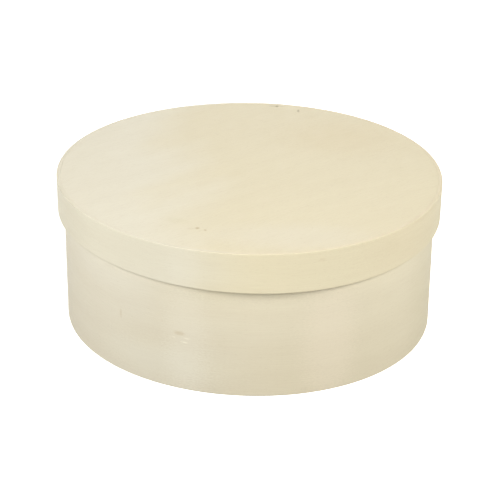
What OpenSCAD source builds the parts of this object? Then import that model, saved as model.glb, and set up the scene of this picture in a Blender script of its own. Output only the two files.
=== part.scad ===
// Round flower box of bent poplar with a lift-off lid.
// The box stands on z = 0 round the Z axis. Both bands are lapped at the rear, which is +Y.
// A band is one strip bent into a ring: its ends are skived, laid over each other, glued and stapled.

/* [Box wall] */
// Outside diameter of the box wall
wall_od = 200; // [140:1:300]
// Height of the wall band
wall_h = 77; // [70:0.5:160]
// Thickness of the wall band
wall_t = 2; // [1.5:0.1:4]

/* [Base] */
// Thickness of the base panel
base_t = 4; // [3:0.5:8]
// Clearance between the base panel's edge and the wall band
base_fit = 0.1; // [0.05:0.05:0.3]

/* [Lid] */
// Gap between the wall band and the lid rim
lid_gap = 1.5; // [1.2:0.1:3]
// Height of the lid rim, from its lower edge to the lid's top
rim_h = 21.5; // [18:0.5:30]
// Thickness of the lid rim
rim_t = 2; // [1.5:0.1:4]
// Thickness of the lid panel
lid_panel_t = 4; // [2:0.5:6]
// Clearance between the lid panel's edge and the rim
panel_fit = 0.1; // [0.05:0.05:0.3]

/* [Edges] */
// Chamfer sanded on the bands' edges
edge_ease = 0.25; // [0.1:0.05:0.5]

/* [Lap joints] */
// Length of each lap, measured along the band
lap_len = 40; // [30:1:60]
// Thickness left at the tip of each skived end
lap_tip_t = 0.4; // [0.2:0.05:0.6]
// Gap between the two skived faces, which the glue fills
glue_line = 0.15; // [0.1:0.01:0.25]
// Open gap in front of each tip
tip_gap = 0.3; // [0.2:0.05:0.6]
// Direction of the middle of the wall band's lap, in degrees from +X
wall_lap_at = 97; // [80:1:100]
// Direction of the middle of the rim's lap, in degrees from +X
rim_lap_at = 90; // [80:1:100]

/* [Staples] */
// Width of the flattened staple wire
wire_w = 0.9; // [0.6:0.1:1.2]
// Thickness of the staple wire
wire_t = 0.5; // [0.3:0.05:0.6]
// Length of a staple's crown
crown_len = 10; // [8:0.5:10]
// Length of each leg end that is clenched inside the band
clench_len = 3.5; // [2:0.5:3.5]
// Clearance round a leg in the wood
leg_clear = 0.05; // [0.02:0.01:0.1]
// Clearance between the wire and the band's faces
wire_seat = 0.02; // [0.01:0.01:0.05]
// Number of staples up the wall's lap
wall_staple_count = 3; // [2:1:4]
// Wood between the lowest crown and the base's glue, and between the highest crown and the rim
staple_margin = 4; // [2:0.5:5]
// Number of staples along the rim's lap
rim_staple_count = 2; // [1:1:3]
// Spacing of the rim's staples along the band
rim_staple_pitch = 14; // [8:1:14]

/* [Glue] */
// Size of the glue fillet between the base panel and the wall
base_bead = 2.5; // [1:0.1:4]
// Width of the glue fillet between the lid panel and the rim
lid_bead_w = 0.8; // [0.4:0.1:0.9]
// Height of the glue fillet between the lid panel and the rim
lid_bead_h = 2; // [1:0.1:2]
// Clearance between a glue fillet and the round face behind it
bead_fit = 0.05; // [0.02:0.01:0.1]

/* [Hidden] */
$fn = 180;
cut_over = 1;       // how far a cutter reaches past the face that it cuts
lap_steps = 16;     // straight steps that follow the curve of a lap
degrees_per_radian = 180 / PI;

wall_r = wall_od / 2;
wall_in_r = wall_r - wall_t;
rim_in_r = wall_r + lid_gap;
rim_r = rim_in_r + rim_t;
lid_top = wall_h + lid_panel_t;
rim_bottom = lid_top - rim_h;

// The wall's staples share out the height between the base's glue and the lid's rim
wall_staple_low = base_t + base_bead + staple_margin + crown_len / 2;
wall_staple_high = rim_bottom - staple_margin - crown_len / 2;
wall_staple_pitch = (wall_staple_high - wall_staple_low) / (wall_staple_count - 1);
// The rim's staples are midway between the rim's lower edge and the lid's glue
rim_staple_z = (rim_bottom + wall_h - lid_bead_h) / 2;

function polar(r, angle) = [r * cos(angle), r * sin(angle)];
function arc_angle(length, r) = length / r * degrees_per_radian;
function mix(from, to, share) = from + (to - from) * share;

// Cross-section of a band, with all four edges eased
module band_section(inner_r, thickness, bottom, height) {
    e = edge_ease;
    translate([inner_r, bottom])
        polygon([[e, 0], [thickness - e, 0], [thickness, e], [thickness, height - e],
                 [thickness - e, height], [e, height], [0, height - e], [0, e]]);
}

// Gap between the two ends of a band: a notch at the outer tip, the sloping glue line, a notch inside
module lap_gap(outer_r, thickness, direction, bottom, height) {
    half = arc_angle(lap_len, outer_r) / 2;
    notch = arc_angle(tip_gap, outer_r);
    inner_r = outer_r - thickness;
    first_r = outer_r - lap_tip_t;
    last_r = inner_r + lap_tip_t;
    g = glue_line / 2;
    steps = [for (i = [0 : lap_steps]) i / lap_steps];
    outer_face = [for (s = steps) polar(mix(first_r, last_r, s) + g, mix(-half, half, s))];
    inner_face = [for (s = steps) polar(mix(last_r, first_r, s) - g, mix(half, -half, s))];
    rotate(direction)
        translate([0, 0, bottom - cut_over])
            linear_extrude(height + 2 * cut_over)
                polygon(concat(
                    [polar(outer_r + cut_over, -half - notch), polar(outer_r + cut_over, -half)],
                    outer_face,
                    [polar(last_r + g, half + notch), polar(inner_r - cut_over, half + notch),
                     polar(inner_r - cut_over, half)],
                    inner_face,
                    [polar(first_r - g, -half - notch)]));
}

// Puts a staple, or the holes of its legs, at each place on the wall's lap
module at_wall_staples() {
    for (i = [0 : wall_staple_count - 1])
        rotate(wall_lap_at)
            translate([0, 0, wall_staple_low + i * wall_staple_pitch])
                children();
}

// Puts a staple, or the holes of its legs, at each place on the rim's lap
module at_rim_staples() {
    for (i = [0 : rim_staple_count - 1])
        rotate(rim_lap_at + arc_angle((i - (rim_staple_count - 1) / 2) * rim_staple_pitch, rim_r))
            translate([0, 0, rim_staple_z])
                children();
}

// Wire staple through a band: upright crown outside, two legs, and their ends clenched towards each other
module staple(outer_r, thickness) {
    outside = outer_r + wire_seat;
    inside = outer_r - thickness - wire_seat;
    translate([outside, -wire_w / 2, -crown_len / 2])
        cube([wire_t, wire_w, crown_len]);
    for (end = [-1, 1])
        scale([1, 1, end])
            translate([inside - wire_t, -wire_w / 2, crown_len / 2 - wire_t]) {
                cube([outside + wire_t - (inside - wire_t), wire_w, wire_t]);
                translate([0, 0, wire_t - clench_len])
                    cube([wire_t, wire_w, clench_len]);
            }
}

// Holes that a staple's two legs make in a band
module leg_holes(outer_r, thickness) {
    for (end = [-1, 1])
        translate([outer_r - thickness / 2, 0, end * (crown_len - wire_t) / 2])
            cube([thickness + 2 * cut_over, wire_w + 2 * leg_clear, wire_t + 2 * leg_clear], center = true);
}

module wall_band() {
    color("#e4dcc3")
        difference() {
            rotate_extrude() band_section(wall_in_r, wall_t, 0, wall_h);
            lap_gap(wall_r, wall_t, wall_lap_at, 0, wall_h);
            at_wall_staples() leg_holes(wall_r, wall_t);
        }
}

module base_panel() {
    color("#e6dcc2")
        cylinder(r = wall_in_r - base_fit, h = base_t);
}

// Glue fillet between a panel and the band round it; rise is its height on the band, up or down
module glue_fillet(band_r, panel_z, width, rise) {
    bead_r = band_r - bead_fit;
    rotate_extrude()
        polygon([[bead_r, panel_z], [bead_r - width, panel_z], [bead_r, panel_z + rise]]);
}

// Glue in the corner on top of the base panel, inside the wall
module base_glue_bead() {
    color("#e8dcae")
        glue_fillet(wall_in_r, base_t, base_bead, base_bead);
}

module wall_staples() {
    color("#a9aaa8")
        at_wall_staples() staple(wall_r, wall_t);
}

module lid_rim() {
    color("#e7dec3")
        difference() {
            rotate_extrude() band_section(rim_in_r, rim_t, rim_bottom, rim_h);
            lap_gap(rim_r, rim_t, rim_lap_at, rim_bottom, rim_h);
            at_rim_staples() leg_holes(rim_r, rim_t);
        }
}

module lid_panel() {
    color("#e8dfc5")
        translate([0, 0, wall_h])
            cylinder(r = rim_in_r - panel_fit, h = lid_panel_t);
}

// Glue in the corner under the lid panel, inside the rim and outside the wall
module lid_glue_bead() {
    color("#e8dcae")
        glue_fillet(rim_in_r, wall_h, lid_bead_w, -lid_bead_h);
}

module rim_staples() {
    color("#a9aaa8")
        at_rim_staples() staple(rim_r, rim_t);
}

wall_band();
base_panel();
base_glue_bead();
wall_staples();
lid_rim();
lid_panel();
lid_glue_bead();
rim_staples();
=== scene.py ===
"""Looks of a round flower box of bent poplar, built round its packed construction.

The box is two sub-assemblies. The box body is a wall band lapped at the rear, a base panel
glued into it and the staples of the lap. The lid is the same in small: a rim band, a panel
glued into it flush with its top, and its staples. The wood of both has sprung a little from
the true circle, and every piece follows it. Sizes are in metres unless a name ends in _mm,
+Z is up and the box stands on z = 0, seen from -Y.
"""

import logging
import math
from collections.abc import Callable
from dataclasses import dataclass
from enum import Enum

import bmesh
import bpy
from mathutils import Matrix, Vector, noise


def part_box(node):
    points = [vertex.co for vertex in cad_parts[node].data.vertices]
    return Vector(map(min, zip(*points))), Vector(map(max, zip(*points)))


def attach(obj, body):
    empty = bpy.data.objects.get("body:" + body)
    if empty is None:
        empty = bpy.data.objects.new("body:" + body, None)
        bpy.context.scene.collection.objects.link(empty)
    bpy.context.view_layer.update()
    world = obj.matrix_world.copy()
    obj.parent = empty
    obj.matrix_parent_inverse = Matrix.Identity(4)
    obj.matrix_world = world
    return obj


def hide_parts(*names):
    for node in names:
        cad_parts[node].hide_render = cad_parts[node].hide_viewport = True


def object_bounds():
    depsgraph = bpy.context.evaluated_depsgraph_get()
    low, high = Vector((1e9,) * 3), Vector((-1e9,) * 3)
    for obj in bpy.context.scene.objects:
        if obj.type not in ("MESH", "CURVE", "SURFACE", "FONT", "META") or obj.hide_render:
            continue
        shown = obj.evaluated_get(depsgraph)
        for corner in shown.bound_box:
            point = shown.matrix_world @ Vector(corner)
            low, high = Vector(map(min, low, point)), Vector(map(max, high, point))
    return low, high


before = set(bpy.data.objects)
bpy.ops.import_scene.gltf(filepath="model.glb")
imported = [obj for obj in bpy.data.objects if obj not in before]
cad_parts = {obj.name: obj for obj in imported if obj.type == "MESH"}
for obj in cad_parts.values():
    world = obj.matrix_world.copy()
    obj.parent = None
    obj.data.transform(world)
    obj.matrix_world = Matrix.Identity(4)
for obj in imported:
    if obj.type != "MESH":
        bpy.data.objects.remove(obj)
CAD_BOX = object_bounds()

LOG = logging.getLogger("flower_box")
MM = 0.001                # a millimetre, in metres
TOUCH = 0.001 * MM        # places closer than this are the same place
NOISE_SPAN = (0.3, 0.7)   # nearly all values of a noise texture lie between these
Z_AXIS = Vector((0, 0, 1))


# ---------------------------------------------------------------- colours and nodes


def linear_rgb(hex_colour: str) -> tuple[float, float, float, float]:
    """Turns an sRGB hex colour into the linear colour that nodes take.

    Args:
        hex_colour: six hex digits after a #, such as "#ece3cb".

    Returns:
        Linear red, green and blue from 0 to 1, and an alpha of 1.
    """
    channels = [int(hex_colour[i:i + 2], 16) / 255 for i in (1, 3, 5)]
    linear = [c / 12.92 if c <= 0.04045 else ((c + 0.055) / 1.055) ** 2.4 for c in channels]
    return (*linear, 1.0)


def add_node(tree: bpy.types.NodeTree, kind: str, inputs: dict | None = None,
             **settings: object) -> bpy.types.Node:
    """Adds one node with its settings and links.

    Args:
        tree: the node tree that the node goes into.
        kind: the node's type name, such as "ShaderNodeMath".
        inputs: an input's name or number, with its value or with the output that feeds it.
        settings: the node's own properties, such as operation="ADD".

    Returns:
        The new node.
    """
    node = tree.nodes.new(kind)
    for name, value in settings.items():
        setattr(node, name, value)
    for name, value in (inputs or {}).items():
        if isinstance(value, bpy.types.NodeSocket):
            tree.links.new(value, node.inputs[name])
        else:
            node.inputs[name].default_value = value
    return node


def seen_directly(tree: bpy.types.NodeTree) -> bpy.types.NodeSocket:
    """Tells the rays that show a surface in the picture from those that only carry its light.

    Args:
        tree: the node tree.

    Returns:
        1 for camera, glossy and transmission rays, and 0 for the others.
    """
    path = add_node(tree, "ShaderNodeLightPath")
    seen = path.outputs["Is Camera Ray"]
    for name in ("Is Glossy Ray", "Is Transmission Ray"):
        either = add_node(tree, "ShaderNodeMath", {0: seen, 1: path.outputs[name]},
                          operation="MAXIMUM")
        seen = either.outputs[0]
    return seen


def empty_material(name: str) -> bpy.types.Material:
    """Makes a material with an empty node tree.

    Args:
        name: the material's name.

    Returns:
        The new material.
    """
    material = bpy.data.materials.new(name)
    material.use_nodes = True
    material.node_tree.nodes.clear()
    return material


# ---------------------------------------------------------------- finishes


class Lay(Enum):
    """How the grain of a piece of wood runs, and so what its pattern follows."""

    FLAT = "Object"   # straight across a panel: the pattern reads Object coordinates
    BENT = "UV"       # round a band: the pattern reads the band's own UV map, in metres


class Layer(Enum):
    """The noises of one wood, each with the step in W that keeps it apart from the others."""

    ZONES = 0
    STREAKS = 3
    FIBRES = 7
    GROWTH = 11
    VESSELS = 17
    MARK_EDGE = 23
    DRIFT = 29


@dataclass(frozen=True)
class Figure:
    """One layer of a wood's figure: noise stretched along the grain."""

    along_mm: float
    across_mm: float
    depth: float = 0     # share of the wood's stain where the layer is darkest
    detail: float = 2.5  # finer octaves of the noise


@dataclass(frozen=True)
class Drift:
    """Slow change from the pale tone to the straw one along a line, as from sap to heartwood."""

    start_mm: float
    end_mm: float
    turn_deg: float = 0  # the line's direction, from +X


@dataclass(frozen=True)
class PaintedFootShade:
    """Painted shade that darkens a band slowly towards its lower edge."""

    low_mm: float
    high_mm: float
    depth: float
    tint: str = "#a89878"  # greyish brown of the painted shade


@dataclass(frozen=True)
class Mark:
    """One mark on a wood face, as a soft-edged ellipse: a natural or workshop mark, or painted light
    or shade.

    On a panel, along and across are X and Y. On a band, along is the distance from the front
    round the band, positive to the right, and across is the height.
    """

    along_mm: float
    across_mm: float
    length_mm: float
    width_mm: float
    strength: float
    colour: str = "#a98727"  # golden brown of a knot or a pith fleck
    turn_deg: float = 0


@dataclass(frozen=True)
class PoplarFinish:
    """Bare sanded poplar, sold as chip wood: pale cream, matt and almost without figure.

    Rotary-cut veneer shows a slow drift from sapwood to heartwood, faint wide growth bands, fine
    fibres and short vessel lines. They are all within a few per cent of the wood's own colour,
    so the face looks plain from a distance and is wood close up.
    """

    name: str
    lay: Lay
    pale: str                    # sapwood
    straw: str                   # heartwood
    drift: Drift
    turn_deg: float = 0          # the grain's direction on a panel, from +X
    seed: float = 0
    stain: str = "#a88252"       # brown that darkens the wood's figure
    zones: Figure = Figure(120, 52, 0.030)
    streaks: Figure = Figure(70, 1.9, 0.026, 3)
    fibres: Figure = Figure(12, 0.45, 0.042, 3)   # in bundles, as one fibre is too fine to show
    vessels: Figure = Figure(2.6, 0.24, 0.10, 1)  # wider than the real ones, so that they show
    vessel_level: float = 0.75   # noise above which a vessel line starts to show
    growth_mm: float = 17        # width of a growth band
    growth_depth: float = 0.020
    growth_wander: Figure = Figure(150, 60, detail=2)
    growth_bend: float = 10      # how far the wander moves the bands, in radians of their wave
    fleck_mm: tuple[float, float] = (40, 26)  # a fleck's cell, along and across the grain
    fleck_edge: float = 0.035    # where a fleck ends, as a share of its cell
    fleck_core: float = 0.015    # where it is full
    fleck_depth: float = 0.10
    drift_wander: Figure = Figure(90, 40, detail=2)
    mark_rag: Figure = Figure(1.6, 0.6, detail=2)
    mark_rag_reach: float = 0.5  # how far the rag eats into a mark, in radii of the mark
    mark_edge: float = 1.25      # distance plus rag at which a mark ends, in its radii
    mark_core: float = 0.45      # and at which it is full
    roughness: tuple[float, float] = (0.56, 0.70)
    rough_span: tuple[float, float] = (0.3, 0.7)  # the fibres' noise at its two ends
    ior: float = 1.5
    gloss: float = 0.3           # low, because open pores take some of the shine
    relief_mm: float = 0.035
    vessel_relief: float = -0.6  # depth of a vessel line, as a share of the fibres' relief
    painted_foot_shade: PaintedFootShade | None = None
    marks: tuple[Mark, ...] = ()

    def build(self) -> bpy.types.Material:
        """Builds the material.

        Returns:
            The material, with its colour, roughness and relief from nodes.
        """
        material = empty_material(self.name)
        tree = material.node_tree
        place = self._place(tree)
        fibres = self._noise(tree, place, self.fibres, Layer.FIBRES)
        vessels = self._vessels(tree, place)
        layers = (
            (self._noise(tree, place, self.zones, Layer.ZONES), self.zones.depth),
            (self._growth(tree, place), self.growth_depth),
            (self._noise(tree, place, self.streaks, Layer.STREAKS), self.streaks.depth),
            (fibres, self.fibres.depth),
            (vessels, self.vessels.depth))
        colour = self._base(tree)
        for mask, depth in layers:
            colour = self._blend(tree, colour, mask, self.stain, depth, "MULTIPLY")
        colour = self._blend(tree, colour, self._flecks(tree, place), self.stain, self.fleck_depth)
        # painted shade: the band darkens towards its foot
        if self.painted_foot_shade:
            low = self._lowness(tree, self.painted_foot_shade)
            colour = self._blend(tree, colour, low, self.painted_foot_shade.tint, self.painted_foot_shade.depth, "MULTIPLY")
        for mark in self.marks:
            colour = self._blend(tree, colour, self._mark(tree, mark), mark.colour, mark.strength)
        rough = add_node(tree, "ShaderNodeMapRange", {
            "Value": fibres, "From Min": self.rough_span[0], "From Max": self.rough_span[1],
            "To Min": self.roughness[0], "To Max": self.roughness[1]})
        relief = add_node(tree, "ShaderNodeMath", {0: vessels, 1: self.vessel_relief, 2: fibres},
                          operation="MULTIPLY_ADD")
        bump = add_node(tree, "ShaderNodeBump", {
            "Height": relief.outputs[0], "Strength": 1.0, "Distance": self.relief_mm * MM})
        shader = add_node(tree, "ShaderNodeBsdfPrincipled", {
            "Base Color": colour, "Roughness": rough.outputs["Result"], "IOR": self.ior,
            "Specular IOR Level": self.gloss, "Normal": bump.outputs["Normal"]})
        add_node(tree, "ShaderNodeOutputMaterial", {"Surface": shader.outputs["BSDF"]})
        return material

    def _raw_place(self, tree: bpy.types.NodeTree) -> bpy.types.NodeSocket:
        """Gives the place on the piece in millimetres, before the grain's turn.

        Args:
            tree: the material's node tree.

        Returns:
            The vector output.
        """
        source = add_node(tree, "ShaderNodeTexCoord")
        scaled = add_node(tree, "ShaderNodeVectorMath", {
            0: source.outputs[self.lay.value], "Scale": 1 / MM}, operation="SCALE")
        return scaled.outputs[0]

    def _turned(self, tree: bpy.types.NodeTree, turn_deg: float) -> bpy.types.NodeSocket:
        """Gives the place in millimetres with X along a direction.

        Args:
            tree: the material's node tree.
            turn_deg: the direction, from +X.

        Returns:
            The vector output.
        """
        turned = add_node(tree, "ShaderNodeMapping", {
            "Vector": self._raw_place(tree), "Rotation": (0, 0, -math.radians(turn_deg))})
        return turned.outputs["Vector"]

    def _place(self, tree: bpy.types.NodeTree) -> bpy.types.NodeSocket:
        """Gives the place in millimetres with X along the grain."""
        return self._turned(tree, self.turn_deg)

    def _stretched(self, tree: bpy.types.NodeTree, place: bpy.types.NodeSocket, along_mm: float,
                   across_mm: float) -> bpy.types.NodeSocket:
        """Scales a place so that a pattern of unit size gets its size along and across the grain.

        Args:
            tree: the material's node tree.
            place: the place in millimetres.
            along_mm: the pattern's size along the grain.
            across_mm: its size across the grain.

        Returns:
            The scaled vector output.
        """
        mapping = add_node(tree, "ShaderNodeMapping", {
            "Vector": place, "Scale": (1 / along_mm, 1 / across_mm, 1 / across_mm)})
        return mapping.outputs["Vector"]

    def _noise(self, tree: bpy.types.NodeTree, place: bpy.types.NodeSocket, figure: Figure,
               layer: Layer) -> bpy.types.NodeSocket:
        """Adds stretched noise.

        Args:
            tree: the material's node tree.
            place: the place in millimetres.
            figure: the noise's size and detail.
            layer: what the noise is for.

        Returns:
            The noise, spread to fill 0 to 1.
        """
        texture = add_node(tree, "ShaderNodeTexNoise", {
            "Vector": self._stretched(tree, place, figure.along_mm, figure.across_mm),
            "W": self.seed + layer.value, "Scale": 1.0, "Detail": figure.detail, "Roughness": 0.5},
            noise_dimensions="4D")
        spread = add_node(tree, "ShaderNodeMapRange", {
            "Value": texture.outputs["Fac"],
            "From Min": NOISE_SPAN[0], "From Max": NOISE_SPAN[1]})
        return spread.outputs["Result"]

    def _growth(self, tree: bpy.types.NodeTree, place: bpy.types.NodeSocket) -> bpy.types.NodeSocket:
        """Adds the wide, wandering growth bands of rotary-cut veneer.

        Args:
            tree: the material's node tree.
            place: the place in millimetres.

        Returns:
            The bands from 0 to 1.
        """
        wander = self._noise(tree, place, self.growth_wander, Layer.GROWTH)
        across = add_node(tree, "ShaderNodeSeparateXYZ", {"Vector": place}).outputs["Y"]
        phase = add_node(tree, "ShaderNodeMath", {0: across, 1: math.tau / self.growth_mm},
                         operation="MULTIPLY")
        bent = add_node(tree, "ShaderNodeMath", {
            0: wander, 1: self.growth_bend, 2: phase.outputs[0]}, operation="MULTIPLY_ADD")
        wave = add_node(tree, "ShaderNodeMath", {0: bent.outputs[0]}, operation="SINE")
        band = add_node(tree, "ShaderNodeMath", {0: wave.outputs[0], 1: 0.5, 2: 0.5},
                        operation="MULTIPLY_ADD")
        return band.outputs[0]

    def _vessels(self, tree: bpy.types.NodeTree,
                 place: bpy.types.NodeSocket) -> bpy.types.NodeSocket:
        """Adds the vessel lines: short fine dashes along the grain.

        Args:
            tree: the material's node tree.
            place: the place in millimetres.

        Returns:
            1 on a line and 0 beside it.
        """
        lines = add_node(tree, "ShaderNodeMapRange", {
            "Value": self._noise(tree, place, self.vessels, Layer.VESSELS),
            "From Min": self.vessel_level, "From Max": 1.0}, interpolation_type="SMOOTHSTEP")
        return lines.outputs["Result"]

    def _flecks(self, tree: bpy.types.NodeTree, place: bpy.types.NodeSocket) -> bpy.types.NodeSocket:
        """Adds sparse pith flecks, one to a cell of about fleck_mm.

        Args:
            tree: the material's node tree.
            place: the place in millimetres.

        Returns:
            1 in a fleck and 0 outside it.
        """
        cells = add_node(tree, "ShaderNodeTexVoronoi", {
            "Vector": self._stretched(tree, place, *self.fleck_mm), "W": self.seed,
            "Scale": 1.0, "Randomness": 1.0}, voronoi_dimensions="4D")
        spot = add_node(tree, "ShaderNodeMapRange", {
            "Value": cells.outputs["Distance"], "From Min": self.fleck_edge,
            "From Max": self.fleck_core}, interpolation_type="SMOOTHSTEP")
        return spot.outputs["Result"]

    def _lowness(self, tree: bpy.types.NodeTree, painted_foot_shade: PaintedFootShade) -> bpy.types.NodeSocket:
        """Adds the mask of the painted shade towards a band's foot.

        Args:
            tree: the material's node tree.
            painted_foot_shade: the heights of the painted shade.

        Returns:
            1 at the painted shade's low edge and below, 0 at its high one and above.
        """
        height = add_node(tree, "ShaderNodeSeparateXYZ", {"Vector": self._raw_place(tree)})
        mask = add_node(tree, "ShaderNodeMapRange", {
            "Value": height.outputs["Y"], "From Min": painted_foot_shade.high_mm, "From Max": painted_foot_shade.low_mm})
        return mask.outputs["Result"]

    def _mark(self, tree: bpy.types.NodeTree, mark: Mark) -> bpy.types.NodeSocket:
        """Adds the mask of one mark, with a ragged edge.

        Args:
            tree: the material's node tree.
            mark: the mark's place and size.

        Returns:
            1 in the middle of the mark, falling to 0 at its edge.
        """
        any_depth = 1e6  # along Z, where the mark has no end
        mapping = add_node(tree, "ShaderNodeMapping", {
            "Vector": self._raw_place(tree), "Location": (mark.along_mm, mark.across_mm, 0),
            "Rotation": (0, 0, math.radians(mark.turn_deg)),
            "Scale": (mark.length_mm / 2, mark.width_mm / 2, any_depth)}, vector_type="TEXTURE")
        ragged = self._noise(tree, self._place(tree), self.mark_rag, Layer.MARK_EDGE)
        reach = add_node(tree, "ShaderNodeVectorMath", {0: mapping.outputs["Vector"]},
                         operation="LENGTH")
        edge = add_node(tree, "ShaderNodeMath", {
            0: ragged, 1: self.mark_rag_reach, 2: reach.outputs["Value"]},
            operation="MULTIPLY_ADD")
        mask = add_node(tree, "ShaderNodeMapRange", {
            "Value": edge.outputs[0], "From Min": self.mark_edge, "From Max": self.mark_core},
            interpolation_type="SMOOTHSTEP")
        return mask.outputs["Result"]

    def _base(self, tree: bpy.types.NodeTree) -> bpy.types.NodeSocket:
        """Mixes the pale and the straw tone along the drift, with a wandering border.

        Args:
            tree: the material's node tree.

        Returns:
            The colour output.
        """
        line = self._turned(tree, self.drift.turn_deg)
        along = add_node(tree, "ShaderNodeSeparateXYZ", {"Vector": line}).outputs["X"]
        wander = self._noise(tree, self._place(tree), self.drift_wander, Layer.DRIFT)
        reach = (self.drift.end_mm - self.drift.start_mm) / 2
        moved = add_node(tree, "ShaderNodeMath", {0: wander, 1: reach, 2: along},
                         operation="MULTIPLY_ADD")
        share = add_node(tree, "ShaderNodeMapRange", {
            "Value": moved.outputs[0], "From Min": self.drift.start_mm + reach / 2,
            "From Max": self.drift.end_mm + reach / 2}, interpolation_type="SMOOTHSTEP")
        mix = add_node(tree, "ShaderNodeMix", {
            "Factor": share.outputs["Result"], 6: linear_rgb(self.pale),
            7: linear_rgb(self.straw)}, data_type="RGBA")
        return mix.outputs[2]

    def _blend(self, tree: bpy.types.NodeTree, colour: bpy.types.NodeSocket,
               mask: bpy.types.NodeSocket, tint: str, strength: float,
               blend_type: str = "MIX") -> bpy.types.NodeSocket:
        """Blends a tint into a colour where a mask is set.

        Args:
            tree: the material's node tree.
            colour: the colour so far.
            mask: the mask from 0 to 1.
            tint: the tint's hex colour.
            strength: the share of the tint where the mask is 1.
            blend_type: MIX to paint the tint over, MULTIPLY to stain with it.

        Returns:
            The colour output.
        """
        share = add_node(tree, "ShaderNodeMath", {0: mask, 1: strength}, operation="MULTIPLY")
        mix = add_node(tree, "ShaderNodeMix", {
            "Factor": share.outputs[0], 6: colour, 7: linear_rgb(tint)}, data_type="RGBA",
            blend_type=blend_type)
        return mix.outputs[2]


@dataclass(frozen=True)
class PlyEdgeFinish:
    """Sawn edge of poplar plywood: five thin plies in turn along and across.

    The cross plies show their end grain, which looks darker.
    """

    name: str
    bottom_z: float          # height of the lowest ply's underside
    ply_mm: float = 0.8
    glue_blur: float = 0.25  # how far one ply's tone runs into the next, as a share of the wave
    along: str = "#e9dfc3"   # plies sawn along their grain
    across: str = "#d3c097"  # cross plies
    speck_mm: float = 0.6    # size of the tufts of fibre that the saw tore
    roughness: tuple[float, float] = (0.7, 0.9)
    gloss: float = 0.3
    relief_mm: float = 0.05

    def build(self) -> bpy.types.Material:
        """Builds the material.

        Returns:
            The material, striped by height.
        """
        material = empty_material(self.name)
        tree = material.node_tree
        place = add_node(tree, "ShaderNodeTexCoord").outputs["Object"]
        height = add_node(tree, "ShaderNodeSeparateXYZ", {"Vector": place}).outputs["Z"]
        half_wave = math.pi / (self.ply_mm * MM)
        ply = add_node(tree, "ShaderNodeMath", {
            0: height, 1: half_wave, 2: -self.bottom_z * half_wave}, operation="MULTIPLY_ADD")
        wave = add_node(tree, "ShaderNodeMath", {0: ply.outputs[0]}, operation="SINE")
        share = add_node(tree, "ShaderNodeMapRange", {
            "Value": wave.outputs[0], "From Min": -self.glue_blur, "From Max": self.glue_blur})
        specks = add_node(tree, "ShaderNodeTexNoise", {
            "Vector": place, "Scale": 1 / (self.speck_mm * MM)}).outputs["Fac"]
        rough = add_node(tree, "ShaderNodeMapRange", {
            "Value": specks, "To Min": self.roughness[0], "To Max": self.roughness[1]})
        mix = add_node(tree, "ShaderNodeMix", {
            "Factor": share.outputs["Result"], 6: linear_rgb(self.across),
            7: linear_rgb(self.along)}, data_type="RGBA")
        bump = add_node(tree, "ShaderNodeBump", {
            "Height": specks, "Distance": self.relief_mm * MM})
        shader = add_node(tree, "ShaderNodeBsdfPrincipled", {
            "Base Color": mix.outputs[2], "Roughness": rough.outputs["Result"],
            "Specular IOR Level": self.gloss, "Normal": bump.outputs["Normal"]})
        add_node(tree, "ShaderNodeOutputMaterial", {"Surface": shader.outputs["BSDF"]})
        return material


@dataclass(frozen=True)
class GlueFinish:
    """Dried white wood glue: clear straw yellow, smooth and a little glossy, on wood."""

    name: str = "dried_wood_glue"
    thin: str = "#ebe0b6"   # where pale wood shows through
    thick: str = "#d9c68c"
    tone_mm: float = 6      # how far apart thin and thick places lie
    roughness: tuple[float, float] = (0.22, 0.40)
    ior: float = 1.46
    relief_mm: float = 0.15

    def build(self) -> bpy.types.Material:
        """Builds the material.

        Returns:
            The material, with slow changes of tone and gloss.
        """
        material = empty_material(self.name)
        tree = material.node_tree
        place = add_node(tree, "ShaderNodeTexCoord").outputs["Object"]
        tone = add_node(tree, "ShaderNodeTexNoise", {
            "Vector": place, "Scale": 1 / (self.tone_mm * MM), "Detail": 3.0}).outputs["Fac"]
        mix = add_node(tree, "ShaderNodeMix", {
            "Factor": tone, 6: linear_rgb(self.thin), 7: linear_rgb(self.thick)},
            data_type="RGBA")
        rough = add_node(tree, "ShaderNodeMapRange", {
            "Value": tone, "From Min": NOISE_SPAN[0], "From Max": NOISE_SPAN[1],
            "To Min": self.roughness[0], "To Max": self.roughness[1]})
        bump = add_node(tree, "ShaderNodeBump", {
            "Height": tone, "Distance": self.relief_mm * MM})
        shader = add_node(tree, "ShaderNodeBsdfPrincipled", {
            "Base Color": mix.outputs[2], "Roughness": rough.outputs["Result"], "IOR": self.ior,
            "Normal": bump.outputs["Normal"]})
        add_node(tree, "ShaderNodeOutputMaterial", {"Surface": shader.outputs["BSDF"]})
        return material


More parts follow.
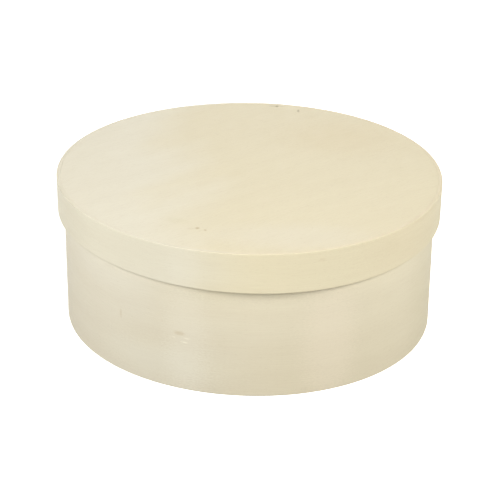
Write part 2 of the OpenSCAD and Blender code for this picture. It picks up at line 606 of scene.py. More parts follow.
@dataclass(frozen=True)
class WireFinish:
    """Galvanised flat steel wire: grey zinc with fine lines, bright and dull, from its drawing."""

    name: str = "galvanised_staple_wire"
    bright: str = "#bbbcba"
    dull: str = "#979998"
    line_mm: tuple[float, float] = (0.08, 4)  # a line's width, coarse so as to show, and length
    roughness: tuple[float, float] = (0.42, 0.60)
    relief_mm: float = 0.01

    def build(self) -> bpy.types.Material:
        """Builds the material.

        Returns:
            The material, whose lines run up the crown.
        """
        material = empty_material(self.name)
        tree = material.node_tree
        place = add_node(tree, "ShaderNodeTexCoord").outputs["Object"]
        across, along = (1 / (size * MM) for size in self.line_mm)
        drawn = add_node(tree, "ShaderNodeMapping", {
            "Vector": place, "Scale": (across, across, along)})
        lines = add_node(tree, "ShaderNodeTexNoise", {
            "Vector": drawn.outputs["Vector"], "Scale": 1.0, "Detail": 2.0}).outputs["Fac"]
        mix = add_node(tree, "ShaderNodeMix", {
            "Factor": lines, 6: linear_rgb(self.bright), 7: linear_rgb(self.dull)},
            data_type="RGBA")
        rough = add_node(tree, "ShaderNodeMapRange", {
            "Value": lines, "From Min": NOISE_SPAN[0], "From Max": NOISE_SPAN[1],
            "To Min": self.roughness[0], "To Max": self.roughness[1]})
        bump = add_node(tree, "ShaderNodeBump", {
            "Height": lines, "Distance": self.relief_mm * MM})
        shader = add_node(tree, "ShaderNodeBsdfPrincipled", {
            "Base Color": mix.outputs[2], "Roughness": rough.outputs["Result"], "Metallic": 1.0,
            "Normal": bump.outputs["Normal"]})
        add_node(tree, "ShaderNodeOutputMaterial", {"Surface": shader.outputs["BSDF"]})
        return material


@dataclass(frozen=True)
class FloorFinish:
    """Matt white paper sweep. The camera sees it at paper white, and it keeps the box's shadow.

    From underneath it is clear, so that the box's underside can be seen through it.
    """

    name: str = "white_paper_floor"
    paper: str = "#f4f4f2"
    bounce: float = 0.28      # what the box gets back from the paper, as a share of white
    lift: float = 0.70        # light added for the camera, so that lit paper reads as white
    far_lift: float = 0.90    # the same far from the box, where the lamps hardly reach it
    near: float = 0.7         # distance from the box's middle at which the far lift begins
    far: float = 1.4          # distance at which it is full

    def build(self) -> bpy.types.Material:
        """Builds the material.

        Returns:
            The material, whose paper is lifted to white for camera, glossy and clear rays.
        """
        material = empty_material(self.name)
        tree = material.node_tree
        bounce = add_node(tree, "ShaderNodeEmission", {"Strength": self.bounce})
        paper = add_node(tree, "ShaderNodeBsdfDiffuse", {"Color": linear_rgb(self.paper)})
        place = add_node(tree, "ShaderNodeTexCoord").outputs["Object"]
        reach = add_node(tree, "ShaderNodeVectorMath", {0: place}, operation="LENGTH")
        lift = add_node(tree, "ShaderNodeMapRange", {
            "Value": reach.outputs["Value"], "From Min": self.near, "From Max": self.far,
            "To Min": self.lift, "To Max": self.far_lift}, interpolation_type="SMOOTHSTEP")
        glow = add_node(tree, "ShaderNodeEmission", {"Strength": lift.outputs["Result"]})
        lit = add_node(tree, "ShaderNodeAddShader", {
            0: paper.outputs["BSDF"], 1: glow.outputs["Emission"]})
        above = add_node(tree, "ShaderNodeMixShader", {
            "Fac": seen_directly(tree), 1: bounce.outputs["Emission"], 2: lit.outputs["Shader"]})
        clear = add_node(tree, "ShaderNodeBsdfTransparent")
        side = add_node(tree, "ShaderNodeNewGeometry")
        mix = add_node(tree, "ShaderNodeMixShader", {
            "Fac": side.outputs["Backfacing"], 1: above.outputs["Shader"],
            2: clear.outputs["BSDF"]})
        add_node(tree, "ShaderNodeOutputMaterial", {"Surface": mix.outputs["Shader"]})
        return material


# ---------------------------------------------------------------- mesh helpers


def finish_mesh(name: str, shape: bmesh.types.BMesh,
                materials: list[bpy.types.Material]) -> bpy.types.Object:
    """Closes a bmesh into an object at the origin, with its faces outwards.

    Its faces are shaded smooth, but for the flat caps.

    Args:
        name: the piece's name.
        shape: the bmesh, which is freed.
        materials: the piece's materials, by face index.

    Returns:
        The new object, in the scene.
    """
    bmesh.ops.remove_doubles(shape, verts=shape.verts, dist=TOUCH)
    bmesh.ops.recalc_face_normals(shape, faces=shape.faces)
    for face in shape.faces:
        is_cap = len(face.verts) > 4
        face.smooth = not is_cap
    mesh = bpy.data.meshes.new(name)
    shape.to_mesh(mesh)
    shape.free()
    for material in materials:
        mesh.materials.append(material)
    piece = bpy.data.objects.new(name, mesh)
    bpy.context.scene.collection.objects.link(piece)
    return piece


def bevel_edges(shape: bmesh.types.BMesh, edges: list[bmesh.types.BMEdge], radius: float,
                segments: int) -> None:
    """Rounds edges.

    Args:
        shape: the bmesh.
        edges: the edges to round.
        radius: how far the rounding reaches from the edge.
        segments: the number of faces across the rounding.
    """
    bmesh.ops.bevel(shape, geom=edges, offset=radius, segments=segments, profile=0.5,
                    affect="EDGES", material=-1)


def cut_across(shape: bmesh.types.BMesh, place: tuple[float, float, float],
               normal: tuple[float, float, float]) -> None:
    """Adds a loop of edges where a plane cuts the shape.

    Args:
        shape: the bmesh.
        place: a point on the plane.
        normal: the plane's normal.
    """
    geometry = [*shape.verts, *shape.edges, *shape.faces]
    bmesh.ops.bisect_plane(shape, geom=geometry, dist=TOUCH, plane_co=place, plane_no=normal)


# ---------------------------------------------------------------- what both sub-assemblies share


@dataclass(frozen=True)
class Lobe:
    """One wave in which the bent wood departs from a true circle."""

    count: int        # crests round the ring
    size: float       # how far a crest stands out
    crest_deg: float  # direction of a crest, from +X


@dataclass(frozen=True)
class Spring:
    """How far the bent wood has sprung from a true circle.

    The box and its lid were bent and glued up together, so they sprang to almost the same shape.
    All pieces of one sub-assembly follow it alike, so their fits stay as they are.
    """

    lobes: tuple[Lobe, ...]
    inset: float  # keeps the crests inside the true circle's box

    def apply(self, mesh: bpy.types.Mesh) -> None:
        """Moves every vertex in or out with the wood round it.

        Args:
            mesh: the piece's mesh, round the Z axis.
        """
        outer_r = CAD_BOX[1][0]
        for v in mesh.vertices:
            angle = math.atan2(v.co.y, v.co.x)
            bulge = sum(lobe.size * math.cos(lobe.count * (angle - math.radians(lobe.crest_deg)))
                        for lobe in self.lobes)
            v.co.xy = v.co.xy * (1 + (bulge - self.inset) / outer_r)


@dataclass
class SubAssembly:
    """Pieces that are fixed to each other and move as one body."""

    body: str       # the CAD body that they move with
    spring: Spring  # the shape that their wood sprang to

    def dress(self, piece: bpy.types.Object, node: str, slot: str) -> bpy.types.Object:
        """Springs a piece, ties it to the body and hides the CAD node that it stands for.

        Args:
            piece: the finished piece.
            node: the CAD node that it replaces.
            slot: the record's material slot; not used.

        Returns:
            The same piece.
        """
        self.spring.apply(piece.data)
        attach(piece, self.body)
        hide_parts(node)
        return piece


# ---------------------------------------------------------------- kinds of piece


@dataclass
class BentBand:
    """Strip of veneer, planed straight, skived at both ends and then bent into a ring."""

    name: str
    outer_r: float
    thickness: float
    bottom: float
    top: float
    lap_at_deg: float                # direction of the lap's middle, from +X
    lap_length: float = 40 * MM
    tip_thickness: float = 0.4 * MM  # left at the tip of each skived end
    glue_line: float = 0.15 * MM
    tip_gap: float = 0.3 * MM
    edge_round: float = 0.25 * MM
    flush_round: float = 0.25 * MM   # the top inner edge's own rounding
    round_steps: int = 3             # faces across a rounding
    hold: float = 0.6 * MM           # distance from a rounding to the loop that keeps its face flat
    shoulder: float = 0.04 * MM      # length of the step up from a wedge to the full thickness
    steps: int = 288                 # faces along the strip
    sway: float = 0.25 * MM          # how far the free edge strays inwards
    sway_rate: float = 1.3           # how quickly the stray changes round the ring
    free_edge_up: bool = True        # the free edge is the top one
    seed: float = 0
    edge_rise: float = 0             # how far the lower edge's cut rises at its two crests
    rise_deg: float = 0              # direction of one of the crests, from +X

    @property
    def height(self) -> float:
        """The band's height."""
        return self.top - self.bottom

    @property
    def length(self) -> float:
        """The strip's length before it is bent."""
        return math.tau * self.outer_r + self.lap_length

    @property
    def tip_angle(self) -> float:
        """Direction of the outer tip, from +X in radians."""
        return math.radians(self.lap_at_deg) - self.lap_length / 2 / self.outer_r

    @property
    def front(self) -> float:
        """Distance along the strip from its outer tip to the middle of the front."""
        return (math.radians(270) - self.tip_angle) * self.outer_r

    def build(self, face: bpy.types.Material, edge: bpy.types.Material) -> bpy.types.Object:
        """Builds the band.

        Args:
            face: the material of the veneer's faces.
            edge: the material of its cut edges.

        Returns:
            The band's object.
        """
        strip = self._planed_strip()
        self._mark_grain(strip)
        self._skive(strip)
        self._bend(strip)
        return finish_mesh(self.name, strip, [face, edge])

    def _planed_strip(self) -> bmesh.types.BMesh:
        """Makes the strip, with its length along X, its thickness along Y and eased edges.

        Returns:
            The straight strip.
        """
        strip = bmesh.new()
        bmesh.ops.create_cube(strip, size=1)
        bmesh.ops.scale(strip, vec=(self.length, self.thickness, self.height), verts=strip.verts)
        middle = (self.length / 2, self.thickness / 2, (self.bottom + self.top) / 2)
        bmesh.ops.translate(strip, vec=middle, verts=strip.verts)
        corners = (
            (self.edge_round, lambda y, z: z < self.bottom + TOUCH),
            (self.flush_round, lambda y, z: y < TOUCH and z > self.top - TOUCH),
            (self.edge_round, lambda y, z: y > self.thickness - TOUCH and z > self.top - TOUCH))
        for radius, wanted in corners:
            bevel_edges(strip, self._long_edges(strip, wanted), radius, self.round_steps)
        bmesh.ops.subdivide_edges(strip, edges=self._long_edges(strip, lambda y, z: True),
                                  cuts=self.steps - 1, use_grid_fill=True)
        margin = self.edge_round + self.hold
        for z in (self.bottom + margin, self.top - margin):
            cut_across(strip, (0, 0, z), (0, 0, 1))
        wedge = self.lap_length + self.tip_gap
        for x in (wedge, wedge + self.shoulder):
            cut_across(strip, (x, 0, 0), (1, 0, 0))
            cut_across(strip, (self.length - x, 0, 0), (1, 0, 0))
        return strip

    def _long_edges(self, strip: bmesh.types.BMesh,
                    wanted: Callable[[float, float], bool]) -> list[bmesh.types.BMEdge]:
        """Lists the edges that run along the strip.

        Args:
            strip: the bmesh.
            wanted: says of an edge's y and z whether it is wanted.

        Returns:
            The edges.
        """
        found = []
        for e in strip.edges:
            a, b = (v.co for v in e.verts)
            if abs(a.x - b.x) > TOUCH and wanted((a.y + b.y) / 2, (a.z + b.z) / 2):
                found.append(e)
        return found

    def _mark_grain(self, strip: bmesh.types.BMesh) -> None:
        """Lays the UV map along the grain, in metres, and gives the cut edges their material.

        Args:
            strip: the straight strip.
        """
        half_way = 0.7  # a face that is turned further than this from the veneer's is cut edge
        layer = strip.loops.layers.uv.new("grain")
        strip.normal_update()
        for face in strip.faces:
            face.material_index = 1 if abs(face.normal.y) < half_way else 0
            for loop in face.loops:
                x, y, z = loop.vert.co
                loop[layer].uv = (x - self.front, z + y - self.thickness)

    def _skive(self, strip: bmesh.types.BMesh) -> None:
        """Planes both ends to wedges that lie on each other once the strip is bent.

        Args:
            strip: the straight strip.
        """
        full, tip, half_line = self.thickness, self.tip_thickness, self.glue_line / 2
        wedge = self.lap_length + self.tip_gap + TOUCH
        for v in strip.verts:
            low, high = 0.0, full
            if v.co.x <= wedge:
                low = full - tip - (full - 2 * tip) * min(v.co.x / self.lap_length, 1) + half_line
            from_end = self.length - v.co.x
            if from_end <= wedge:
                high = tip + (full - 2 * tip) * min(from_end / self.lap_length, 1) - half_line
            v.co.y = low + v.co.y / full * (high - low)

    def _bend(self, strip: bmesh.types.BMesh) -> None:
        """Bends the strip round Z. Its free edge strays a little from the true circle.

        Args:
            strip: the skived strip.
        """
        inner_r = self.outer_r - self.thickness
        for v in strip.verts:
            x, y, z = v.co
            angle = self.tip_angle + x / self.outer_r
            share = (z - self.bottom) / self.height
            loose = share if self.free_edge_up else 1 - share
            way = Vector((math.cos(angle), math.sin(angle), 0))
            stray = noise.noise(way * self.sway_rate + Z_AXIS * self.seed)
            r = inner_r + y - self.sway * loose * (0.5 + 0.5 * stray)
            crest = 0.5 + 0.5 * math.cos(2 * (angle - math.radians(self.rise_deg)))
            rise = self.edge_rise * crest * (1 - share)
            v.co = way * r + Z_AXIS * (z + rise)


@dataclass
class RoundPanel:
    """Disc of plywood, sawn and eased at both edges."""

    name: str
    radius: float
    bottom: float
    top: float
    edge_round: float = 0.2 * MM
    round_steps: int = 2  # faces across the rounding
    segments: int = 288

    def build(self, face: bpy.types.Material, edge: bpy.types.Material) -> bpy.types.Object:
        """Builds the panel.

        Args:
            face: the material of the two faces.
            edge: the material of the sawn edge.

        Returns:
            The panel's object.
        """
        disc = bmesh.new()
        bmesh.ops.create_circle(disc, cap_ends=True, radius=self.radius, segments=self.segments)
        bmesh.ops.translate(disc, vec=(0, 0, self.bottom), verts=disc.verts)
        grown = bmesh.ops.extrude_face_region(disc, geom=disc.faces[:])
        lifted = [v for v in grown["geom"] if isinstance(v, bmesh.types.BMVert)]
        bmesh.ops.translate(disc, vec=(0, 0, self.top - self.bottom), verts=lifted)
        rims = [e for e in disc.edges if abs(e.verts[0].co.z - e.verts[1].co.z) < TOUCH]
        bevel_edges(disc, rims, self.edge_round, self.round_steps)
        half_way = 0.5  # a face that is turned further than this from the panel's is sawn edge
        disc.normal_update()
        for f in disc.faces:
            f.material_index = 1 if abs(f.normal.z) < half_way else 0
        return finish_mesh(self.name, disc, [face, edge])


@dataclass
class GlueFillet:
    """Bead of glue pressed into the corner between a panel and the band round it."""

    name: str
    band_r: float
    panel_z: float
    width: float
    rise: float          # its height on the band: up if positive, down if negative
    outline: tuple[tuple[float, float], ...] = (  # the corner, then its hollow face, in shares
        (0, 0), (-1, 0), (-0.62, 0.14), (-0.3, 0.34), (-0.1, 0.66), (0, 1))
    steps: int = 360
    mean: float = 0.78   # mean size, as a share of the full one
    swell: float = 0.3   # how much of its size comes and goes slowly
    ripple: float = 0.16  # and how much quickly
    least: float = 0.35
    seed: float = 0

    def build(self, material: bpy.types.Material) -> bpy.types.Object:
        """Builds the bead, whose width and height change along it.

        Args:
            material: the glue's material.

        Returns:
            The bead's object.
        """
        bead = bmesh.new()
        corners = [bead.verts.new((self.band_r + x * self.width, 0, self.panel_z + z * self.rise))
                   for x, z in self.outline]
        ring = [bead.edges.new((a, b)) for a, b in zip(corners, corners[1:] + corners[:1])]
        bmesh.ops.spin(bead, geom=[*corners, *ring], cent=(0, 0, 0), axis=(0, 0, 1), angle=math.tau,
                       steps=self.steps, use_merge=True)
        for v in bead.verts:
            self._shrink(v)
        return finish_mesh(self.name, bead, [material])

    def _shrink(self, v: bmesh.types.BMVert) -> None:
        """Shrinks the bead at one vertex by a smooth random share, keeping its corner.

        Args:
            v: the vertex.
        """
        slow, quick = 6, 26  # how often the size changes round the bead
        way = Vector((v.co.x, v.co.y, 0)).normalized()
        around = way + Z_AXIS * self.seed
        size = (self.mean + self.swell * noise.noise(around * slow)
                + self.ripple * noise.noise(around * quick))
        size = min(max(size, self.least), 1.0)
        r = self.band_r - (self.band_r - v.co.xy.length) * size
        v.co = way * r + Z_AXIS * (self.panel_z + (v.co.z - self.panel_z) * size)


@dataclass
class Staple:
    """Wire staple through a band: crown outside, legs clenched towards each other inside."""

    outer_r: float
    thickness: float
    direction_deg: float
    middle_z: float
    wire_width: float = 0.9 * MM
    wire_thickness: float = 0.5 * MM
    crown: float = 10 * MM
    clench: float = 3.5 * MM
    seat: float = 0.02 * MM
    bend_r: float = 0.5 * MM

    def add_to(self, shape: bmesh.types.BMesh) -> None:
        """Adds the staple to a bmesh.

        Args:
            shape: the bmesh of all the staples of one band.
        """
        first_new = len(shape.verts)
        inside = self.outer_r - self.thickness - self.seat - self.wire_thickness / 2
        outside = self.outer_r + self.seat + self.wire_thickness / 2
        end = self.crown / 2
        start = Vector((inside, 0, end - self.clench))
        wire = BentWire(shape, start, self.wire_width, self.wire_thickness)
        straight = self.wire_thickness / 2 + self.bend_r
        wire.forward(self.clench - straight)
        wire.bend(self.bend_r)
        wire.forward(outside - inside - 2 * self.bend_r)
        wire.bend(self.bend_r)
        wire.forward(self.crown - 2 * straight)
        wire.bend(self.bend_r)
        wire.forward(outside - inside - 2 * self.bend_r)
        wire.bend(self.bend_r)
        wire.forward(self.clench - straight)
        shape.verts.ensure_lookup_table()
        new = shape.verts[first_new:]
        bmesh.ops.translate(shape, vec=(0, 0, self.middle_z), verts=new)
        turn = Matrix.Rotation(math.radians(self.direction_deg), 3, "Z")
        bmesh.ops.rotate(shape, cent=(0, 0, 0), matrix=turn, verts=new)


class BentWire:
    """Flat wire drawn out from a rounded section, forward and round bends in the XZ plane."""

    def __init__(self, shape: bmesh.types.BMesh, start: Vector, width: float,
                 thickness: float) -> None:
        """Lays the first section, facing +Z.

        Args:
            shape: the bmesh that the wire goes into.
            start: the middle of the first section.
            width: the wire's width, along Y.
            thickness: the wire's thickness.
        """
        self.shape = shape
        self.place = start.copy()
        self.heading = Vector((0, 0, 1))
        corners = [shape.verts.new(start + Vector((x * thickness / 2, y * width / 2, 0)))
                   for x, y in ((-1, -1), (1, -1), (1, 1), (-1, 1))]
        shape.faces.new(corners)
        rounding = 0.3 * thickness
        rounded = bmesh.ops.bevel(shape, geom=corners, offset=rounding, segments=3, profile=0.5,
                                  affect="VERTICES", material=-1)
        self.end = self._face_of(rounded["verts"])

    def _face_of(self, verts: list[bmesh.types.BMVert]) -> bmesh.types.BMFace:
        """Finds the one face that all the verts share."""
        wanted = set(verts)
        return next(f for f in verts[0].link_faces if wanted <= set(f.verts))

    @property
    def _section(self) -> list[bmesh.types.BMFace | bmesh.types.BMVert | bmesh.types.BMEdge]:
        """The end face with its edge, so that the wire drawn on from it has no wall inside."""
        return [self.end, *self.end.verts, *self.end.edges]

    def forward(self, length: float) -> None:
        """Draws the wire straight on.

        Args:
            length: how far.
        """
        grown = bmesh.ops.extrude_face_region(self.shape, geom=self._section)["geom"]
        verts = [v for v in grown if isinstance(v, bmesh.types.BMVert)]
        bmesh.ops.translate(self.shape, vec=self.heading * length, verts=verts)
        self.end = next(f for f in grown if isinstance(f, bmesh.types.BMFace))
        self.place += self.heading * length

    def bend(self, radius: float, steps: int = 5) -> None:
        """Bends the wire a quarter turn, clockwise seen from -Y.

        Args:
            radius: the radius of the wire's middle line.
            steps: faces round the bend.
        """
        side = Vector((self.heading.z, 0, -self.heading.x))
        centre = self.place + side * radius
        turned = bmesh.ops.spin(self.shape, geom=self._section, cent=centre, axis=(0, 1, 0),
                                angle=math.pi / 2, steps=steps, use_merge=False)
        self.end = next(f for f in turned["geom_last"] if isinstance(f, bmesh.types.BMFace))
        self.place = centre + self.heading * radius
        self.heading = side


# ---------------------------------------------------------------- the two sub-assemblies


@dataclass
class BoxBody(SubAssembly):
    """The box: the wall band, the base panel glued into it, and the staples of its lap."""

    body: str = "box"
    spring: Spring = Spring(
        (Lobe(2, 1.2 * MM, -41), Lobe(3, 0.4 * MM, 47), Lobe(4, 0.25 * MM, 45)), inset=0.3 * MM)
    wall_thickness: float = 2 * MM
    lap_at_deg: float = 97
    bead: float = 2.5 * MM
    staple_count: int = 3
    crown: float = 10 * MM
    wood: PoplarFinish = PoplarFinish(
        name="poplar_veneer_wall", lay=Lay.BENT, pale="#eee8d4", straw="#ede4c8",
        # painted shade: the wall darkens towards its foot
        drift=Drift(-150, 60), seed=2.0, painted_foot_shade=PaintedFootShade(0, 70, 0.2), marks=(
            Mark(-35.6, 31.8, 8.6, 3.6, 0.30),                 # small knot
            Mark(-38.7, 29.1, 3.0, 1.8, 0.30, "#fff8e0"),      # raised fibres under it
            Mark(-31.6, 29.5, 4.8, 1.2, 0.50, "#fff8e0"),
            Mark(-32.8, 27.1, 5.2, 1.2, 0.65, "#fff8e0"),
            Mark(-72.2, 33.0, 2.4, 8.0, 0.15),                 # pith fleck
            Mark(-32.0, 30.0, 34.0, 110.0, 0.20, "#fbf6e6"),   # painted highlight: paler bands up the sheet where a soft highlight falls
            Mark(42.0, 28.0, 44.0, 110.0, 0.22, "#fff0d8"),
            Mark(-50.0, 12.0, 120.0, 38.0, 0.13, "#ffffec"),   # paler patch
            Mark(-3.0, 58.5, 94.0, 16.0, 0.30, "#fff6d6"),     # painted light: pale strip under the rim that lifts the rim's shadow on the wall
            Mark(118.0, 34.0, 54.0, 110.0, 0.06, "#b4b064")))  # heartwood tint
    cut: PoplarFinish = PoplarFinish(
        name="poplar_veneer_wall_edge", lay=Lay.BENT, pale="#e6ddc4", straw="#e0d4b2",
        drift=Drift(-150, 60), seed=2.5)
    ply: PoplarFinish = PoplarFinish(
        name="poplar_plywood_base", lay=Lay.FLAT, pale="#ebe4cf", straw="#e9dfc2",
        drift=Drift(-60, 60, 100), turn_deg=20, seed=5.0)

    def build(self, glue: bpy.types.Material, wire: bpy.types.Material) -> list[bpy.types.Object]:
        """Builds and dresses every piece of the box.

        Args:
            glue: the material of the glue.
            wire: the material of the staples.

        Returns:
            The pieces.
        """
        return [self._wall(), self._base(), self._fillet(glue), self._staples(wire)]

    def _wall(self) -> bpy.types.Object:
        """Builds the wall band, its lap at the rear.

        Returns:
            The dressed band.
        """
        low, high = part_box("wall_band")
        wall = BentBand("wall_band_veneer", high[0], self.wall_thickness, low[2], high[2],
                        self.lap_at_deg, seed=1.0)
        piece = wall.build(self.wood.build(), self.cut.build())
        return self.dress(piece, "wall_band", "wall_veneer")

    def _base(self) -> bpy.types.Object:
        """Builds the base panel.

        Returns:
            The dressed panel.
        """
        low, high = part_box("base_panel")
        base = RoundPanel("base_panel_plywood", high[0], low[2], high[2])
        piece = base.build(self.ply.build(), PlyEdgeFinish("base_ply_edge", low[2]).build())
        return self.dress(piece, "base_panel", "base_plywood")

    def _fillet(self, glue: bpy.types.Material) -> bpy.types.Object:
        """Builds the glue fillet on top of the base panel.

        Args:
            glue: its material.

        Returns:
            The dressed fillet.
        """
        low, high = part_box("base_glue_bead")
        bead = GlueFillet("base_glue", high[0], low[2], self.bead, high[2] - low[2], seed=3.0)
        return self.dress(bead.build(glue), "base_glue_bead", "wood_glue")

    def _staples(self, wire: bpy.types.Material) -> bpy.types.Object:
        """Builds the staples up the wall's lap.

        Args:
            wire: their material.

        Returns:
            One piece with all of them.
        """
        outer_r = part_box("wall_band")[1][0]
        low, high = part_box("wall_staples")
        first = low[2] + self.crown / 2
        last = high[2] - self.crown / 2
        shape = bmesh.new()
        for i in range(self.staple_count):
            middle = first + (last - first) * i / (self.staple_count - 1)
            Staple(outer_r, self.wall_thickness, self.lap_at_deg, middle,
                   crown=self.crown).add_to(shape)
        piece = finish_mesh("wall_staple_wire", shape, [wire])
        return self.dress(piece, "wall_staples", "staple_wire")


@dataclass
class Lid(SubAssembly):
    """The lid: the rim band, the panel glued into it flush with its top, and its staples."""

    body: str = "lid"
    spring: Spring = Spring((Lobe(2, 1.2 * MM, -41), Lobe(3, 0.4 * MM, 47)), inset=0.55 * MM)
    rim_thickness: float = 2 * MM
    edge_rise: float = 1.8 * MM    # the rim's strip was sawn a little narrower at two places
    rise_deg: float = 18
    lap_at_deg: float = 90
    bead: float = 0.8 * MM
    crisp: float = 0.05 * MM       # rounding of the seam's edges, which were sanded flush
    seam_fill: float = 0.06 * MM   # how far sanding dust and glue close the panel's seam
    staple_count: int = 2
    staple_pitch: float = 14 * MM
    wood: PoplarFinish = PoplarFinish(
        name="poplar_veneer_rim", lay=Lay.BENT, pale="#ede7d0", straw="#ece2c1",
        drift=Drift(-50, 5), seed=8.0, marks=(
            Mark(36.2, 75.9, 5.4, 2.8, 0.08),                  # pith fleck
            Mark(-33.0, 71.0, 26.0, 60.0, 0.12, "#fbf6e6"),    # painted highlight, a paler band in line with the wall's
            Mark(90.0, 70.0, 100.0, 60.0, 0.075, "#a87e58"),   # darker bands
            Mark(-118.0, 68.0, 60.0, 60.0, 0.070, "#a89878")))
    cut: PoplarFinish = PoplarFinish(
        name="poplar_veneer_rim_edge", lay=Lay.BENT, pale="#ece5ce", straw="#ebdfbf",
        drift=Drift(-50, 5), seed=8.5)
    ply: PoplarFinish = PoplarFinish(
        name="poplar_plywood_lid", lay=Lay.FLAT, pale="#ede6cf", straw="#e9debd",
        drift=Drift(-72, -8, 6), turn_deg=38, seed=12.0, growth_depth=0.012,
        streaks=Figure(70, 1.9, 0.015, 3), marks=(
            Mark(-25.7, -73.4, 3.4, 3.4, 0.42),                    # two pin knots
            Mark(-21.8, -75.7, 2.4, 2.8, 0.32),
            Mark(-29.0, -74.0, 5.0, 3.2, 0.08),                    # the stain round them
            Mark(-36.5, -64.6, 18.0, 10.0, 0.08, "#b8ac60", -20),
            Mark(15.6, 96.9, 2.6, 3.6, 0.45, "#7a6418"),           # pin knots near the edge
            Mark(15.3, 97.4, 13.0, 3.0, 0.24, "#7a6418"),
            Mark(28.0, 89.9, 2.0, 5.8, 0.42, "#7a6418"),
            Mark(52.0, 50.0, 96.0, 80.0, 0.09, "#c39838"),         # heartwood tint
            Mark(22.0, -82.0, 112.0, 44.0, 0.085, "#f2f3fd"),      # paler patch
            Mark(-31.2, 57.8, 6.0, 4.0, 0.025),                    # faint flecks
            Mark(5.8, 74.1, 7.0, 4.0, 0.03),
            Mark(50.5, 17.3, 9.0, 6.0, 0.03)))

    def build(self, glue: bpy.types.Material, wire: bpy.types.Material) -> list[bpy.types.Object]:
        """Builds and dresses every piece of the lid.

        Args:
            glue: the material of the glue.
            wire: the material of the staples.

        Returns:
            The pieces.
        """
        return [self._rim(), self._panel(), self._fillet(glue), self._staples(wire)]

    def _rim(self) -> bpy.types.Object:
        """Builds the rim band, its lap at the rear.

        Returns:
            The dressed band.
        """
        low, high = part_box("lid_rim")
        rim = BentBand("lid_rim_veneer", high[0], self.rim_thickness, low[2], high[2],
                       self.lap_at_deg, flush_round=self.crisp, free_edge_up=False, seed=4.0,
                       edge_rise=self.edge_rise, rise_deg=self.rise_deg)
        piece = rim.build(self.wood.build(), self.cut.build())
        return self.dress(piece, "lid_rim", "rim_veneer")

    def _panel(self) -> bpy.types.Object:
        """Builds the panel that closes the lid.

        Returns:
            The dressed panel.
        """
        low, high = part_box("lid_panel")
        panel = RoundPanel("lid_panel_plywood", high[0] + self.seam_fill, low[2], high[2],
                           edge_round=self.crisp)
        piece = panel.build(self.ply.build(), PlyEdgeFinish("lid_ply_edge", low[2]).build())
        return self.dress(piece, "lid_panel", "lid_plywood")

    def _fillet(self, glue: bpy.types.Material) -> bpy.types.Object:
        """Builds the glue fillet under the panel.

        Args:
            glue: its material.

        Returns:
            The dressed fillet.
        """
        low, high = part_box("lid_glue_bead")
        bead = GlueFillet("lid_glue", high[0], high[2], self.bead, low[2] - high[2], seed=6.0)
        return self.dress(bead.build(glue), "lid_glue_bead", "wood_glue")

    def _staples(self, wire: bpy.types.Material) -> bpy.types.Object:
        """Builds the staples side by side in the rim's lap.

        Args:
            wire: their material.

        Returns:
            One piece with all of them.
        """
        outer_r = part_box("lid_rim")[1][0]
        low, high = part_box("rim_staples")
        shape = bmesh.new()
        for i in range(self.staple_count):
            offset = (i - (self.staple_count - 1) / 2) * self.staple_pitch / outer_r
            direction = self.lap_at_deg + math.degrees(offset)
            Staple(outer_r, self.rim_thickness, direction, (low[2] + high[2]) / 2).add_to(shape)
        piece = finish_mesh("rim_staple_wire", shape, [wire])
        return self.dress(piece, "rim_staples", "staple_wire")


# ---------------------------------------------------------------- studio


@dataclass(frozen=True)
class SoftLight:
    """Large square soft light that faces the box."""

    name: str
    azimuth_deg: float     # from the front, positive to the right
    elevation_deg: float
    power: float           # in watts
    size: float = 0.5      # the square's side
    distance: float = 1.2  # from the point that it faces
    colour: str = "#ffffff"

    def place(self, target: Vector) -> None:
        """Puts the light in the scene.

        Args:
            target: the point that it faces.
        """
        azimuth, elevation = math.radians(self.azimuth_deg), math.radians(self.elevation_deg)
        way = Vector((math.sin(azimuth) * math.cos(elevation),
                      -math.cos(azimuth) * math.cos(elevation), math.sin(elevation)))
        lamp = bpy.data.lights.new(self.name, "AREA")
        lamp.shape = "SQUARE"
        lamp.size = self.size
        lamp.energy = self.power
        lamp.color = linear_rgb(self.colour)[:3]
        light = bpy.data.objects.new(self.name, lamp)
        light.location = target + way * self.distance
        light.rotation_euler = way.to_track_quat("Z", "Y").to_euler()
        bpy.context.scene.collection.objects.link(light)


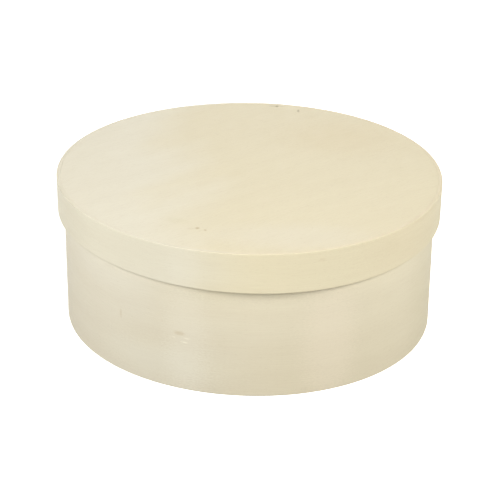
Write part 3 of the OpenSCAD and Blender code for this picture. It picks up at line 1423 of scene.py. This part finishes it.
@dataclass
class Studio:
    """White paper floor, soft lights, a white surround and the camera."""

    image_px: float = 500          # the frame's side
    focal_px: float = 1722         # the lens's focal length on that frame
    sensor_mm: float = 36
    camera_at: tuple[float, float, float] = (0, -0.8506, 0.4432)
    aim_at: tuple[float, float, float] = (0.0006, 0, 0.0339)
    roll_deg: float = 0.6
    ambient: float = 0.14          # light from the surround, as a share of white
    floor_size: float = 8
    floor_drop: float = 0.1 * MM   # keeps the paper's face apart from the box's underside
    floor_shift: float = 1.2       # moves the seam of the sheet's two triangles clear of the box
    lights: tuple[SoftLight, ...] = (
        SoftLight("left_softbox", -60, 30, 8.9),
        SoftLight("right_softbox", 60, 32, 9.2),
        SoftLight("front_softbox", 0, 25, 4.2, size=0.4),
        SoftLight("rear_softbox", 180, 8, 6.3))

    def build(self) -> None:
        """Builds the studio round the box."""
        self._floor()
        self._world()
        target = Vector((0, 0, CAD_BOX[1][2] / 2))
        for light in self.lights:
            light.place(target)
        self._camera()
        settings = bpy.context.scene.view_settings
        settings.view_transform = "Standard"

    def _floor(self) -> None:
        """Lays the paper floor at the level that the box stands on."""
        sheet = bmesh.new()
        bmesh.ops.create_grid(sheet, x_segments=1, y_segments=1, size=self.floor_size / 2)
        bmesh.ops.translate(sheet, vec=(self.floor_shift, 0, -self.floor_drop), verts=sheet.verts)
        floor = finish_mesh("paper_floor", sheet, [FloorFinish().build()])

    def _world(self) -> None:
        """Surrounds the scene with white, which lights the box at the ambient level."""
        world = bpy.data.worlds.new("white_surround")
        world.use_nodes = True
        tree = world.node_tree
        tree.nodes.clear()
        level = add_node(tree, "ShaderNodeMapRange", {
            "Value": seen_directly(tree), "To Min": self.ambient, "To Max": 1.0})
        white = add_node(tree, "ShaderNodeBackground", {
            "Color": linear_rgb("#ffffff"), "Strength": level.outputs["Result"]})
        add_node(tree, "ShaderNodeOutputWorld", {"Surface": white.outputs["Background"]})
        bpy.context.scene.world = world

    def _camera(self) -> None:
        """Sets the camera, level but for a slight roll."""
        lens = bpy.data.cameras.new("camera")
        lens.sensor_width = self.sensor_mm
        lens.lens = self.focal_px / self.image_px * self.sensor_mm
        camera = bpy.data.objects.new("camera", lens)
        eye = Vector(self.camera_at)
        forward = (Vector(self.aim_at) - eye).normalized()
        right = forward.cross(Z_AXIS).normalized()
        right.rotate(Matrix.Rotation(-math.radians(self.roll_deg), 3, forward))
        up = right.cross(forward)
        turn = Matrix((right, up, -forward)).transposed()
        camera.matrix_world = Matrix.Translation(eye) @ turn.to_4x4()
        bpy.context.scene.collection.objects.link(camera)
        bpy.context.scene.camera = camera


def main() -> None:
    """Builds the box, the lid and the studio, and reports each piece."""
    logging.basicConfig(level=logging.INFO, format="%(name)s: %(message)s")
    glue, wire = GlueFinish().build(), WireFinish().build()
    for part in (BoxBody(), Lid()):
        for piece in part.build(glue, wire):
            LOG.info("%s rides on %s, %d faces", piece.name, part.body, len(piece.data.polygons))
    Studio().build()


if __name__ == "__main__":
    main()
